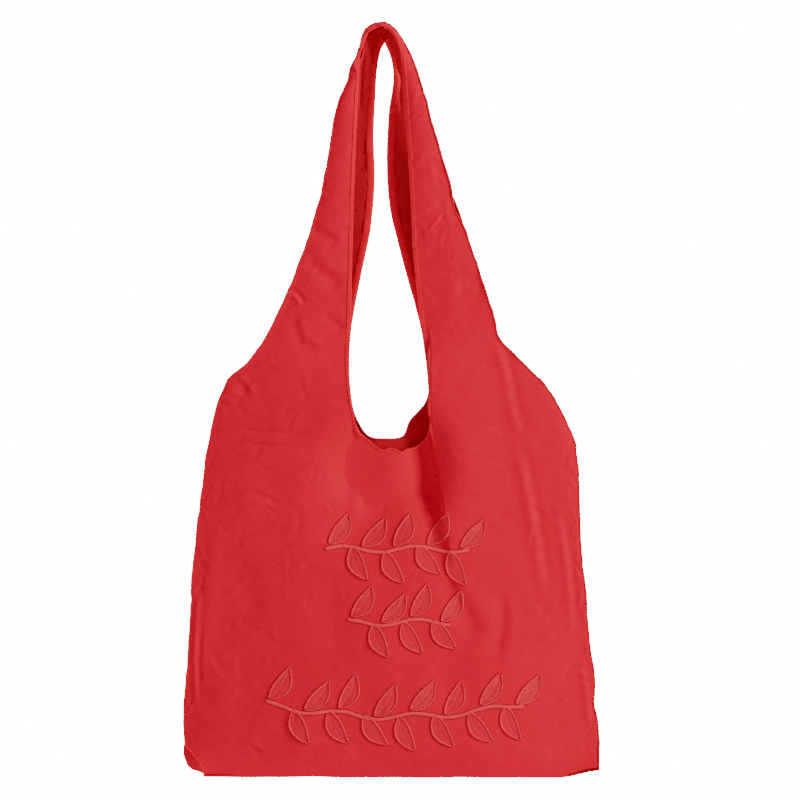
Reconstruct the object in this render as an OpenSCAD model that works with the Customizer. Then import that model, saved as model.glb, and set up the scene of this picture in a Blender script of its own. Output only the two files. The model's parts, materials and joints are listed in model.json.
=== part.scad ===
/* [Body] */
// Width across the base, corner to corner
base_w = 400; // [320:2:480]
// Depth of the base, between the front and back panels
base_d = 40; // [24:1:60]
// Width across the sides, just below the side-seam tops
shoulder_w = 364; // [300:2:440]
// Width between the two side-seam tops, where the handles start
armpit_w = 276; // [240:2:320]
// Height from the base to the side-seam tops
side_h = 395; // [320:5:480]
// Height at which the lower part of the bag folds up
fold_h = 110; // [90:1:130]
// Thickness of the hanging body through its middle
puff_d = 38; // [24:1:56]
// Height of the boxed-corner facets
corner_h = 45; // [30:1:60]

/* [Mouth] */
// Width of the mouth between the handles
mouth_w = 74; // [56:1:100]
// Depth of the mouth, from the side-seam tops down to the rim
mouth_drop = 82; // [60:1:110]
// Thickness through the mouth rim, front to back
mouth_d = 25; // [18:1:36]

/* [Handles] */
// Rise of a handle above the side-seam tops
handle_h = 331; // [260:2:400]
// Height of the band at the very top of a handle
band_h = 20; // [14:1:28]
// Outer width of a handle where it starts to close over its top
crook_w = 84; // [70:1:100]
// Width of a strap at that height
strap_w = 20; // [14:1:26]
// Distance between the outer faces of the two handles
handle_d = 17; // [14:1:24]
// How much closer together the back straps hang than the front ones
back_inset = 8; // [0:1:12]

/* [Cloth] */
// Thickness of an outer panel
outer_t = 1.0; // [0.8:0.1:1.4]
// Thickness of a lining
lining_t = 0.7; // [0.5:0.1:1]
// Space between an outer panel and its lining
layer_gap = 0.9; // [0.7:0.05:0.95]
// Clearance between neighbouring pieces
clear = 0.35; // [0.3:0.05:0.6]
// Radius of the bound edges
bind_r = 1.3; // [1:0.1:1.8]

/* [Snap] */
// Radius of each half of the magnetic snap
snap_r = 9; // [7:0.5:11]
// Thickness of each half
snap_t = 2; // [1.6:0.1:2.6]
// Radius of the stud in the middle of the snap
stud_r = 3; // [2:0.1:3.6]
// Thickness of the backing washers
washer_t = 0.4; // [0.3:0.05:0.45]
// Distance from the rim down to the middle of the snap
snap_drop = 15; // [13:0.5:20]

/* [Embroidery] */
// Length of an embroidered leaf in the top row
leaf_l = 30; // [22:1:34]
// Width of a leaf, as a share of its length
leaf_ratio = 0.36; // [0.28:0.02:0.44]
// Height of the stitches above the cloth
stitch_h = 0.9; // [0.6:0.1:1.2]

/* [Hidden] */

FRONT = -1;
BACK = 1;
LEFT = -1;
RIGHT = 1;
NYLON = [0.83, 0.14, 0.18];
LINING = [0.68, 0.08, 0.12];
EDGE = [0.88, 0.22, 0.25];
THREAD = [0.9, 0.26, 0.28];
METAL = [0.75, 0.75, 0.78];

// Heights, from the base up
rim_h = side_h - mouth_drop;
belly_h = 0.3 * side_h; // where the body hangs thickest
round_h = 0.74 * side_h; // where the sides start to round in to the side-seam tops
taper_h = 0.75 * side_h; // where the sides stop tapering
knee_h = side_h + 0.785 * handle_h; // where a handle starts to close over its top
top_h = side_h + handle_h;
hang_h = top_h - band_h;
snap_h = rim_h - snap_drop;
base_h = outer_t + clear + lining_t;

// Depths, from the middle plane out to the outer face of a panel
face_gap = 0.1; // from the middle plane to the face of either half of the snap
cloth_t = outer_t + layer_gap + lining_t;
seam_d = cloth_t + clear;
snap_d = snap_t + face_gap + clear + cloth_t;
neck_half = mouth_w / 2;
crook_out = crook_w / 2;
crook_in = crook_out - strap_w;
flat_rise = 0.4 * handle_h; // rise over which a handle flattens to handle_d
inset_rise = 110; // rise over which the back straps close in
inset_fall = 60; // distance below the top over which they open again
pinch_w = 60; // reach of the snap's pull across the panel
pinch_h = 45; // reach of the snap's pull up and down the panel
mouth_power = 2.6; // squareness of the mouth's curve
mouth_share = 0.42; // share of the body's width that the mouth's columns fill low down
end_gap = clear;
$fn = 48;

function smooth(t) = let (k = min(max(t, 0), 1)) k * k * (3 - 2 * k);
function mix(a, b, t) = a + (b - a) * t;

// Half the width between the outer edges at height z
function body_half(z) = mix(base_w / 2, shoulder_w / 2, smooth((z - corner_h) / (taper_h - corner_h)))
    - (shoulder_w - armpit_w) / 2 * pow(max((z - round_h) / (side_h - round_h), 0), 2.2);
function strap_half(z) = let (t = (z - side_h) / (knee_h - side_h), flare = armpit_w / 2 - crook_out)
    crook_out + flare * (0.8 * pow(1 - t, 1.25) + 0.2 * exp(-t / 0.07));
function crown_half(z) = let (s = min((z - knee_h) / (top_h - knee_h), 1))
    crook_out * pow(1 - pow(s, 1.6), 0.75);
function outer_half(z) = z <= side_h ? body_half(z) : z <= knee_h ? strap_half(z) : crown_half(z);

// Half the width of the gap between the two straps of a handle at height z
function gap_half(z) = let (t = (z - side_h) / (knee_h - side_h), s = min((z - knee_h) / (hang_h - knee_h), 1))
    z <= knee_h ? mix(neck_half, crook_in, 1 - pow(1 - t, 1.6)) : crook_in * pow(1 - s * s, 0.7);

// The back handle hangs a little narrower than the front one
function closing(z) = smooth((z - side_h) / inset_rise);
function inset(z, side) = side == BACK ? back_inset * closing(z) * smooth((top_h - z) / inset_fall) : 0;
function gap_share(z, side) = side == BACK ? 1 - back_inset / neck_half * closing(z) : 1;

// Distance from the middle plane to the outer face of a panel
function mid_depth(z) = z < belly_h
    ? mix(base_d / 2, puff_d / 2, smooth(z / belly_h))
    : z < side_h
    ? mix(puff_d / 2, mouth_d / 2, smooth((z - belly_h) / (side_h - belly_h)))
    : mix(mouth_d / 2, handle_d / 2, smooth((z - side_h) / flat_rise));
function edge_depth(z) = z < side_h
    ? mix(base_d / 2, seam_d, smooth(z / corner_h))
    : mix(seam_d, handle_d / 2, smooth((z - side_h) / flat_rise));
function pinch(x, z) = exp(-pow(pow(x / pinch_w, 2) + pow((z - snap_h) / pinch_h, 2), 2));
function depth(x, z) = let (
    s = min(abs(x) / max(outer_half(z), 1), 1),
    lens = mix(edge_depth(z), mid_depth(z), 1 - s * s))
    z < side_h ? mix(lens, min(lens, snap_d), pinch(x, z)) : mix(lens, min(lens, snap_d), pinch(x, side_h));

// A point of a cloth layer: [x, z] on the pattern, and how far it lies inside the outer face
function place(p, inner, side) = [p[0], side * (depth(p[0], p[1]) - inner), p[1] - hang_h];

// Closed solid between two layers of a grid of pattern points
module cloth(grid, near, far, side) {
    nv = len(grid);
    nu = len(grid[0]);
    count = nu * nv;
    function at(layer, j, i) = layer * count + j * nu + i;
    points = [
        for (inner = [near, far]) for (row = grid) for (p = row) place(p, inner, side)
    ];
    skin = [
        for (j = [0:nv - 2]) for (i = [0:nu - 2])
            each [
                [at(0, j, i), at(0, j, i + 1), at(0, j + 1, i + 1)],
                [at(0, j, i), at(0, j + 1, i + 1), at(0, j + 1, i)],
                [at(1, j, i), at(1, j + 1, i + 1), at(1, j, i + 1)],
                [at(1, j, i), at(1, j + 1, i), at(1, j + 1, i + 1)]
            ]
    ];
    border = concat(
        [for (i = [0:nu - 2]) [at(0, 0, i), at(0, 0, i + 1)]],
        [for (j = [0:nv - 2]) [at(0, j, nu - 1), at(0, j + 1, nu - 1)]],
        [for (i = [nu - 1:-1:1]) [at(0, nv - 1, i), at(0, nv - 1, i - 1)]],
        [for (j = [nv - 1:-1:1]) [at(0, j, 0), at(0, j - 1, 0)]]
    );
    walls = [
        for (e = border)
            each [[e[1], e[0], e[0] + count], [e[1], e[0] + count, e[1] + count]]
    ];
    faces = concat(skin, walls);
    polyhedron(points, side == FRONT ? [for (f = faces) [f[2], f[1], f[0]]] : faces);
}

// Closed tube along a list of 3-D points that lies near an upright plane
module bead(path, r) {
    last = len(path) - 1;
    sides = 6;
    rings = [
        for (i = [0:last])
            let (
                t = path[min(i + 1, last)] - path[max(i - 1, 0)],
                flat = norm([t[0], t[2]]),
                n = [-t[2] / flat, 0, t[0] / flat])
                [for (k = [0:sides - 1]) path[i] + r * cos(60 * k) * n + [0, r * sin(60 * k), 0]]
    ];
    points = [for (ring = rings) each ring];
    walls = [
        for (i = [0:last - 1]) for (k = [0:sides - 1])
            let (a = i * sides + k, b = i * sides + (k + 1) % sides)
                each [[a, b, b + sides], [a, b + sides, a + sides]]
    ];
    ends = [[for (k = [sides - 1:-1:0]) k], [for (k = [0:sides - 1]) last * sides + k]];
    polyhedron(points, concat(walls, ends));
}

// The top edge of a body panel: fold line, mouth, fold line; a runs from -1 to 1
function mouth_edge(a) = let (angle = 90 * a, e = 2 / mouth_power)
    [neck_half * sign(a) * pow(abs(sin(angle)), e), side_h - mouth_drop * pow(cos(angle), e)];
outer_cols = 5;
mouth_cols = 12;
upper_cols = 2 * outer_cols + mouth_cols;
function top_edge(i) = i < outer_cols
    ? [mix(-armpit_w / 2, -neck_half, i / outer_cols), side_h]
    : i > outer_cols + mouth_cols
    ? [mix(armpit_w / 2, neck_half, (upper_cols - i) / outer_cols), side_h]
    : mouth_edge(2 * (i - outer_cols) / mouth_cols - 1);
function column_share(i) = i < outer_cols
    ? mix(-1, -mouth_share, i / outer_cols)
    : i > outer_cols + mouth_cols
    ? mix(1, mouth_share, (upper_cols - i) / outer_cols)
    : mix(-mouth_share, mouth_share, (i - outer_cols) / mouth_cols);

// Grid of a body panel between the fold and the mouth, its outer edge drawn in by trim
function upper_grid(rows, trim) = [
    for (j = [0:rows])
        let (v = j / rows)
            [
                for (i = [0:upper_cols])
                    let (
                        top = top_edge(i),
                        z = mix(fold_h + end_gap, top[1] - end_gap - trim, v),
                        share = mix(column_share(i), top[0] / outer_half(top[1]), pow(v, 1.5)))
                        [share * (outer_half(z) - trim), z]
            ]
];

function lower_grid(rows, cols, low, trim) = [
    for (j = [0:rows])
        let (z = mix(low, fold_h - end_gap, pow(j / rows, 1.3)))
            [for (i = [0:cols]) [(2 * i / cols - 1) * (outer_half(z) - trim), z]]
];

// Grid of one strap, from the fold line up to the top seam
strap_rows = 20;
function run(v) = 1 - pow(1 - v, 1.7);
function strap_outer(v, side, trim) = let (z = mix(side_h + end_gap, top_h, run(v)))
    [max(outer_half(z) - inset(z, side) - trim, end_gap), z - trim * pow(v, 8)];
function strap_inner(v, side, trim) = let (z = mix(side_h + end_gap, hang_h, run(v)))
    [max(gap_half(z) * gap_share(z, side) + trim * (1 - pow(v, 8)), end_gap), z + trim * pow(v, 8)];
function strap_grid(hand, side, trim) = [
    for (j = [0:strap_rows])
        let (v = j / strap_rows, o = strap_outer(v, side, trim), n = strap_inner(v, side, trim))
            [for (i = [0:4]) let (p = mix(o, n, (hand == LEFT ? i : 4 - i) / 4)) [hand * p[0], p[1]]]
];

module body_panel(side) {
    color(NYLON) cloth(upper_grid(12, 0), 0, outer_t, side);
}

module body_lining(side) {
    color(LINING) cloth(upper_grid(12, clear), outer_t + layer_gap, cloth_t, side);
}

module lower_panel(side) {
    color(NYLON) cloth(lower_grid(7, 14, 0, 0), 0, outer_t, side);
}

module lower_lining(side) {
    color(LINING) cloth(lower_grid(7, 14, base_h + clear, clear), outer_t + layer_gap, cloth_t, side);
}

module strap(hand, side) {
    color(NYLON) cloth(strap_grid(hand, side, 0), 0, outer_t, side);
}

module strap_lining(hand, side) {
    color(LINING) cloth(strap_grid(hand, side, clear), outer_t + layer_gap, cloth_t, side);
}

// A bound edge stands just off the cut edges of an outer panel and its lining
function edge_point(p, away, side) = let (q = place(p, cloth_t / 2, side))
    q + (bind_r + clear) * [away[0], 0, away[1]];

module mouth_binding(side) {
    steps = 28;
    function spot(k) = mouth_edge(2 * k / steps - 1);
    path = [
        for (k = [0:steps])
            let (
                t = spot(min(k + 1, steps)) - spot(max(k - 1, 0)),
                away = [-t[1], t[0]] / norm(t),
                p = k == 0 || k == steps ? spot(k) - [0, end_gap] : spot(k))
                edge_point(p, away, side)
    ];
    color(EDGE) bead(path, bind_r);
}

// The inner edge of a handle runs up one strap, over the top and down the other
module inner_binding(side) {
    steps = strap_rows;
    function spot(k) = let (p = strap_inner(1 - abs(k) / steps, side, 0))
        [sign(k) * (k == 0 ? 0 : p[0]), k == 0 ? hang_h : p[1]];
    path = [
        for (k = [-steps:steps])
            let (
                t = spot(min(k + 1, steps)) - spot(max(k - 1, -steps)),
                away = [t[1], -t[0]] / norm(t))
                edge_point(spot(k), away, side)
    ];
    color(EDGE) bead(path, bind_r);
}

module outer_binding(side) {
    steps = strap_rows;
    function spot(k) = let (p = strap_outer(1 - abs(k) / steps, side, 0))
        [sign(k) * (k == 0 ? 0 : p[0]), k == 0 ? top_h : p[1]];
    path = [
        for (k = [-steps:steps])
            let (
                t = spot(min(k + 1, steps)) - spot(max(k - 1, -steps)),
                away = [-t[1], t[0]] / norm(t))
                edge_point(spot(k), away, side)
    ];
    color(EDGE) bead(path, bind_r);
}

// The felled seam that joins the two straps at the top of a handle
module top_seam(side) {
    seam_w = 6;
    seam_t = 0.8;
    proud = depth(0, top_h) + clear;
    color(EDGE)
        translate([-seam_w / 2, side == FRONT ? -proud - seam_t : proud, 1])
        cube([seam_w, seam_t, band_h - 3]);
}

// The side seam is a narrow turned edge that closes the front and back panels
module side_seam(hand, low, high) {
    steps = 12;
    path = [
        for (k = [0:steps])
            let (z = mix(low, high, k / steps))
                [hand * (outer_half(z) + clear + bind_r), 0, z - hang_h]
    ];
    color(NYLON) bead(path, bind_r);
}

// The triangular end of the base, where the corner is boxed
module corner_facet(hand) {
    steps = 8;
    reach = [for (k = [0:steps]) let (z = mix(0, corner_h, k / steps)) [edge_depth(z), z]];
    outline = concat(reach, [for (k = [steps:-1:0]) [-reach[k][0], reach[k][1]]]);
    inside = base_w / 2 + clear;
    color(NYLON)
        translate([hand == LEFT ? -inside - outer_t : inside, 0, -hang_h])
        rotate([90, 0, 90])
        linear_extrude(outer_t)
        polygon(outline);
}

module base_plate(low, thick, trim) {
    wide = base_w - 2 * trim;
    deep = base_d - 2 * (outer_t + clear) - 2 * trim;
    translate([-wide / 2, -deep / 2, low - hang_h]) cube([wide, deep, thick]);
}

module base_panel() {
    color(NYLON) base_plate(0, outer_t, 0);
}

module base_lining() {
    color(LINING) base_plate(outer_t + clear, lining_t, clear);
}

// The magnetic snap that holds the mouth shut, sewn through the linings
module on_snap(y) {
    translate([0, y, snap_h - hang_h]) rotate([90, 0, 0]) children();
}

module snap_socket() {
    stud_clear = 0.2;
    color(METAL)
        on_snap(-face_gap)
        difference() {
            cylinder(h = snap_t, r = snap_r);
            translate([0, 0, -1]) cylinder(h = snap_t + 2, r = stud_r + stud_clear);
        }
}

module snap_stud() {
    stud_l = snap_t * 0.7;
    color(METAL) {
        on_snap(face_gap + snap_t) cylinder(h = snap_t, r = snap_r);
        on_snap(face_gap + snap_t) cylinder(h = snap_t + stud_l, r = stud_r);
    }
}

module snap_washer(side) {
    middle = snap_d - outer_t - layer_gap / 2;
    rim_inset = 1;
    hole_inset = 0.5;
    color(METAL)
        on_snap(side * middle + washer_t / 2)
        difference() {
            cylinder(h = washer_t, r = snap_r - rim_inset);
            translate([0, 0, -1]) cylinder(h = washer_t + 2, r = stud_r - hole_inset);
        }
}

// A raised leaf on the front panel: its foot, its length and the way it points
module leaf(foot, long, angle) {
    cols = 6;
    function half(u) = long * leaf_ratio / 2 * (0.12 + 0.88 * pow(sin(180 * pow(u, 0.85)), 0.9));
    function turned(a, b) = foot + [a * cos(angle) - b * sin(angle), a * sin(angle) + b * cos(angle)];
    grid = [
        for (w = [-1:1:1]) [for (i = [0:cols]) turned(long * i / cols, w * half(i / cols))]
    ];
    cloth(grid, -clear - stitch_h, -clear, FRONT);
}

// A stem along a curved baseline, with leaves by turns above and below it
module sprig(centre, wide, bow, long, count) {
    stem_half = 0.9;
    cols = 18;
    function line(x) = [centre[0] + x, centre[1] + bow * pow(2 * x / wide, 2)];
    stem = [
        for (w = [-1, 1]) [for (i = [0:cols]) line((i / cols - 0.5) * wide * 1.08) + [0, w * stem_half]]
    ];
    cloth(stem, -clear - stitch_h, -clear, FRONT);
    for (i = [0:count - 1]) {
        x = (i - (count - 1) / 2) * wide / count;
        up = i % 2 == 0 ? 1 : -1;
        tilt = atan(4 * bow * 2 * x / wide / wide);
        leaf(line(x) + [0, up * long * 0.16], long, tilt + up * 48);
    }
}

module embroidery_top_row() {
    color(THREAD) sprig(centre = [4, 218], wide = 150, bow = 4, long = leaf_l, count = 9);
}

module embroidery_middle_row() {
    color(THREAD) sprig(centre = [6, 150], wide = 112, bow = -3, long = leaf_l * 0.9, count = 7);
}

module embroidery_bottom_row() {
    color(THREAD) sprig(centre = [4, 60], wide = 262, bow = 14, long = leaf_l * 1.05, count = 13);
}

body_panel(FRONT);  // front_panel_upper
body_panel(BACK);  // back_panel_upper
body_lining(FRONT);  // front_lining_upper
body_lining(BACK);  // back_lining_upper
mouth_binding(FRONT);  // front_mouth_binding
mouth_binding(BACK);  // back_mouth_binding
side_seam(LEFT, fold_h + end_gap, side_h - end_gap);  // left_side_seam_upper
side_seam(RIGHT, fold_h + end_gap, side_h - end_gap);  // right_side_seam_upper
snap_socket();
snap_stud();
snap_washer(FRONT);  // snap_front_washer
snap_washer(BACK);  // snap_back_washer
embroidery_top_row();
embroidery_middle_row();
lower_panel(FRONT);  // front_panel_lower
lower_panel(BACK);  // back_panel_lower
lower_lining(FRONT);  // front_lining_lower
lower_lining(BACK);  // back_lining_lower
base_panel();
base_lining();
corner_facet(LEFT);  // left_corner_facet
corner_facet(RIGHT);  // right_corner_facet
side_seam(LEFT, corner_h + clear, fold_h - end_gap);  // left_side_seam_lower
side_seam(RIGHT, corner_h + clear, fold_h - end_gap);  // right_side_seam_lower
embroidery_bottom_row();
strap(LEFT, FRONT);  // front_strap_left
strap(RIGHT, FRONT);  // front_strap_right
strap_lining(LEFT, FRONT);  // front_strap_lining_left
strap_lining(RIGHT, FRONT);  // front_strap_lining_right
inner_binding(FRONT);  // front_handle_inner_binding
outer_binding(FRONT);  // front_handle_outer_binding
top_seam(FRONT);  // front_handle_top_seam
strap(LEFT, BACK);  // back_strap_left
strap(RIGHT, BACK);  // back_strap_right
strap_lining(LEFT, BACK);  // back_strap_lining_left
strap_lining(RIGHT, BACK);  // back_strap_lining_right
inner_binding(BACK);  // back_handle_inner_binding
outer_binding(BACK);  // back_handle_outer_binding
top_seam(BACK);  // back_handle_top_seam
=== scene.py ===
"""Looks of a foldable nylon tote bag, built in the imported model's own frame.

Shapes are worked out in bag millimetres: x to the right, y to the back, z up from the base.
to_row() turns them into metres in the shared frame.
"""
import json
import math

import bmesh
import bpy
import numpy as np
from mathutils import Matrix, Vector


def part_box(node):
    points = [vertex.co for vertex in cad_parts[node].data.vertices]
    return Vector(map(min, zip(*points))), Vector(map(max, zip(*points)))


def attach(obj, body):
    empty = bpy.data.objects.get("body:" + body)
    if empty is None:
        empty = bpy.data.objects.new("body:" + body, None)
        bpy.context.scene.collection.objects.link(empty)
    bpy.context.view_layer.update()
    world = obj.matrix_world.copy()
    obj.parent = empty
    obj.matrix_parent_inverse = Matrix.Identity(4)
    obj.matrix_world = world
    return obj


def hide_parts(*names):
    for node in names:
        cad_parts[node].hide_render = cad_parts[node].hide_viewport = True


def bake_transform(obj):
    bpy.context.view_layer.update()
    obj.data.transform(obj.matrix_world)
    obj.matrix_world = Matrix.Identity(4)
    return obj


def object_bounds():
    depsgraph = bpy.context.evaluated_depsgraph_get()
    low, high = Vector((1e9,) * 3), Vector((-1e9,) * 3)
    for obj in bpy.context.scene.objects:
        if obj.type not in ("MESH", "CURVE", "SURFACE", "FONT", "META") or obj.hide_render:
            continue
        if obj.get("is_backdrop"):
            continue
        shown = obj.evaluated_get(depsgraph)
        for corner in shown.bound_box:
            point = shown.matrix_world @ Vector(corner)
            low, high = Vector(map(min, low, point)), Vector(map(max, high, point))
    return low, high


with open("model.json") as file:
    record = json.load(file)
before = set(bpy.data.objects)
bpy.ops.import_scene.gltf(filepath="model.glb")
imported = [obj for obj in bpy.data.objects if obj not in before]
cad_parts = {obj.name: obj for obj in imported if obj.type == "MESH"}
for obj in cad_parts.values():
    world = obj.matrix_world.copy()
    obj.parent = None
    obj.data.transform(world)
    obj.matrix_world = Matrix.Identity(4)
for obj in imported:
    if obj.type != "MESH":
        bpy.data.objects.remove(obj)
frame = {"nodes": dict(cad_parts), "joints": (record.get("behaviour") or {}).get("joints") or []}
cad_low, cad_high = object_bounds()
joints = {j["name"]: j for j in frame["joints"]}

# ---------------------------------------------------------------- frame and driving sizes

MM = 0.001
BASE_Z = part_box("base_panel")[0].z
ARMPIT_Z = (joints["front_handle_fold"]["pos_m"][2] - BASE_Z) / MM
TOP_Z = (cad_high.z - BASE_Z) / MM
socket_low, socket_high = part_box("snap_socket")
SNAP_Z = (socket_low.z + socket_high.z - 2 * BASE_Z) / 2 / MM
SPLIT_Z = 250.0  # the upper and the lower cloths meet here, between the two folds
APEX_X = -7.0  # the top of the loops hangs a little left of the middle

# Half depths, from the middle plane to the outer face
SNAP_DEPTH = 5.05
BASE_DEPTH = 19.5
SEAM_DEPTH = 2.95
STRAP_DEPTH = 8.0
FACET_TOP = {"left": 33.0, "right": 45.0}  # where the boxed corners end

# Thickness of the two cloths, and how far the lining lies inside the outer surface
CLOTH = 0.8
LINING = 0.6
LINING_INSET = 1.8
HANDLE_BAND = 12.0  # half the height over which a handle bends at its root
EASE = 1.01  # what small creases take up of the flat cloth


def to_row(points):
    """Bag millimetres to metres in the shared frame."""
    out = np.asarray(points, float) * MM
    out[..., 2] += BASE_Z
    return out


def smooth(t):
    t = np.clip(t, 0, 1)
    return t * t * (3 - 2 * t)


def mix(a, b, t):
    return a + (b - a) * t


def bell(u):
    return np.exp(-u * u)


def unit(v):
    """Vectors scaled to a length of 1."""
    return v / np.maximum(np.linalg.norm(v, axis=-1, keepdims=True), 1e-9)


def distance_along(path):
    """How far each point of a path lies from its start."""
    return np.concatenate([[0], np.cumsum(np.linalg.norm(np.diff(path, axis=0), axis=1))])


def ring(count, across, up, lift=0.0):
    """A closed profile: an ellipse of count points."""
    turns = np.linspace(0, 2 * math.pi, count + 1)[:-1]
    return [(across * math.cos(a), lift + up * math.sin(a)) for a in turns]


# ---------------------------------------------------------------- outlines

def curve(points, step=0.5):
    """A Catmull-Rom curve through points, sampled evenly, and the sample number of each point."""
    p = np.asarray(points, float)
    p = np.vstack([2 * p[0] - p[1], p, 2 * p[-1] - p[-2]])
    dense, marks = [], [0]
    for a, b, c, d in zip(p, p[1:], p[2:], p[3:]):
        n = max(4, int(np.linalg.norm(c - b) / step))
        k = [0.0]
        for e, f in ((a, b), (b, c), (c, d)):
            k.append(k[-1] + math.sqrt(np.linalg.norm(f - e) + 1e-9))
        t = np.linspace(k[1], k[2], n, endpoint=False)[:, None]
        ab = mix(a, b, (t - k[0]) / (k[1] - k[0]))
        bc = mix(b, c, (t - k[1]) / (k[2] - k[1]))
        cd = mix(c, d, (t - k[2]) / (k[3] - k[2]))
        abc = mix(ab, bc, (t - k[0]) / (k[2] - k[0]))
        bcd = mix(bc, cd, (t - k[1]) / (k[3] - k[1]))
        dense.append(mix(abc, bcd, (t - k[1]) / (k[2] - k[1])))
        marks.append(marks[-1] + n)
    return np.vstack([*dense, p[-2:-1]]), marks


def spread(path, count):
    """count + 1 points at even spacing along a dense path."""
    along = distance_along(path)
    want = np.linspace(0, along[-1], count + 1)
    return np.stack([np.interp(want, along, path[:, i]) for i in range(path.shape[1])], 1)


# The bag's left and right outlines, from the base up to the top of the loops
LEFT_EDGE = [
    (-178, 0), (-180, 7), (-183.5, 13), (-188.5, 19.5), (-194, 25), (-198.3, 32), (-199.3, 46),
    (-198.8, 72), (-196, 110), (-193, 160), (-189.5, 210), (-184, 262), (-178.5, 302), (-171.5, 338),
    (-163, 368), (-155, 384), (-148, 390), (-138, 398.5), (-121, 424), (-101, 465), (-84, 506),
    (-80, 518), (-66, 568), (-57.5, 620), (-55, 634), (-53, 644), (-50.2, 652.5), (-46.3, 659),
    (-42.4, 667.5), (-39.8, 678), (-37.1, 685), (-32.9, 694), (-30, 703), (-28.4, 711),
    (-25.3, 717.8), (-21, 722.6), (-14, 725.4), (APEX_X, 726)]
RIGHT_EDGE = [
    (198, 0), (199, 12), (200, 32), (198, 58), (195, 73), (195.5, 90), (192, 120), (186.5, 180),
    (182, 235), (180.5, 266), (179, 309), (171, 336), (159, 360.5), (145.5, 380), (136, 389.5),
    (119, 406), (105, 422), (99.5, 442), (87, 482), (72, 525), (58, 568), (46, 606), (34, 650),
    (24.5, 682), (15.4, 702), (6.4, 716.5), (-1.2, 723.8), (APEX_X, 726)]
# The neck hole's edge: from its top down the left strap, along the mouth, and up the right strap
FRONT_NECK = [
    (APEX_X, 720.5), (-15, 718.6), (-24, 712.5), (-29.3, 696), (-31, 672), (-32.5, 640), (-36, 554),
    (-38.5, 458), (-40.5, 395), (-39.5, 368), (-36, 348), (-31.5, 332), (-23.5, 325.5),
    (-13, 316.5), (-7, 313.6), (-1, 316), (5, 314.6), (10, 312.3), (14.5, 314.6), (22, 316.5),
    (30.5, 322), (36, 331), (37.5, 341), (36, 352), (36, 372), (34, 395), (26, 458), (21, 512),
    (19, 554), (15, 622), (12, 668), (10, 686), (7.5, 702), (3.5, 713), (-1, 718.6), (APEX_X, 720.5)]
BACK_NECK = [
    (-6, 710), (-10.5, 701), (-13.5, 686), (-15.5, 655), (-17.5, 615), (-16.5, 575), (-20.5, 527),
    (-30.5, 478), (-39, 430), (-41, 395), (-39, 370), (-36, 352), (-30, 338), (-21, 327), (-8, 325),
    (5, 325), (12, 328), (17, 341), (24, 349), (34, 362), (37, 390), (33, 414), (26, 445),
    (16, 481), (7, 515), (-0.5, 548), (-3.5, 590), (-1.5, 640), (2.5, 672), (0, 694), (-6, 710)]
# Which points of each neck end its four upper stretches: armpit height, mouth corner, and back up
FRONT_MARKS = (8, 11, 22, 25)
BACK_MARKS = (9, 12, 18, 20)
NOISE_CELLS = 64
NOISE_SHIFT = 1000  # keeps the cell numbers positive


def noise(x, z, size_x, size_z, seed):
    """Smooth value noise from -1 to 1, with cells of size_x by size_z."""
    table = np.random.default_rng(seed).uniform(-1, 1, (NOISE_CELLS, NOISE_CELLS))
    u, v = x / size_x + NOISE_SHIFT, z / size_z + NOISE_SHIFT
    i, j = np.floor(u).astype(int), np.floor(v).astype(int)
    fu, fv = smooth(u - i), smooth(v - j)
    i, j, next_i, next_j = (k % NOISE_CELLS for k in (i, j, i + 1, j + 1))
    a, b = table[i, j], table[next_i, j]
    c, d = table[i, next_j], table[next_i, next_j]
    return mix(mix(a, b, fu), mix(c, d, fu), fv)


def uneven(path, seed):
    """An outline with the small unevenness of a sewn edge."""
    x, z = path[:, 0], path[:, 1]
    bend = 0.7 * noise(0 * z, z, 1, 17, seed) + 0.4 * noise(0 * z, z, 1, 6.5, seed + 9)
    calm = smooth(z / 30) * smooth((TOP_Z - z) / 60)
    return np.stack([x + bend * calm, z], 1)


def cut_at(path, z):
    """The part of a rising path below z, and the part above it."""
    i = int(np.searchsorted(path[:, 1], z))
    x = np.interp(z, path[:, 1], path[:, 0])
    return np.vstack([path[:i], [x, z]]), np.vstack([[x, z], path[i:]])


left_path = uneven(curve(LEFT_EDGE)[0], 21)
right_path = uneven(curve(RIGHT_EDGE)[0], 22)


def left_at(z):
    return np.interp(z, left_path[:, 1], left_path[:, 0])


def right_at(z):
    return np.interp(z, right_path[:, 1], right_path[:, 0])


def base_at(x):
    """Height of the bottom edge: it lifts a little towards the right corner."""
    lift = 7.0 * smooth((x - 158) / 40) + 0.9 * smooth((-50 - x) / 30)
    return lift + 0.5 * (1 + noise(x, 0 * x, 34, 1, 23))


def half_depth(x, z):
    """Half the depth of the bag's sides: boxed at the base, and closed above the corner facets."""
    top = mix(FACET_TOP["left"], FACET_TOP["right"], smooth((x + 100) / 200))
    return mix(BASE_DEPTH, SEAM_DEPTH, smooth(z / top) ** 0.8)


# ---------------------------------------------------------------- noise and creases

def along_line(x, z, points):
    """Distance to a line of points, its side (+1 or -1), and how far along the line (0 to 1)."""
    p = np.asarray(points, float)
    best = np.full(x.shape, 1e9)
    side, share = np.zeros(x.shape), np.zeros(x.shape)
    lengths = np.linalg.norm(np.diff(p, axis=0), axis=1)
    done = 0.0
    for a, b, length in zip(p, p[1:], lengths):
        dx, dz = (b - a) / length
        t = np.clip((x - a[0]) * dx + (z - a[1]) * dz, 0, length)
        ex, ez = x - a[0] - t * dx, z - a[1] - t * dz
        d = np.hypot(ex, ez)
        near = d < best
        best = np.where(near, d, best)
        side = np.where(near, np.sign(ex * -dz + ez * dx), side)
        share = np.where(near, (done + t) / lengths.sum(), share)
        done += length
    return best, side, share


FOLD_GAIN = 1.25


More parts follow.
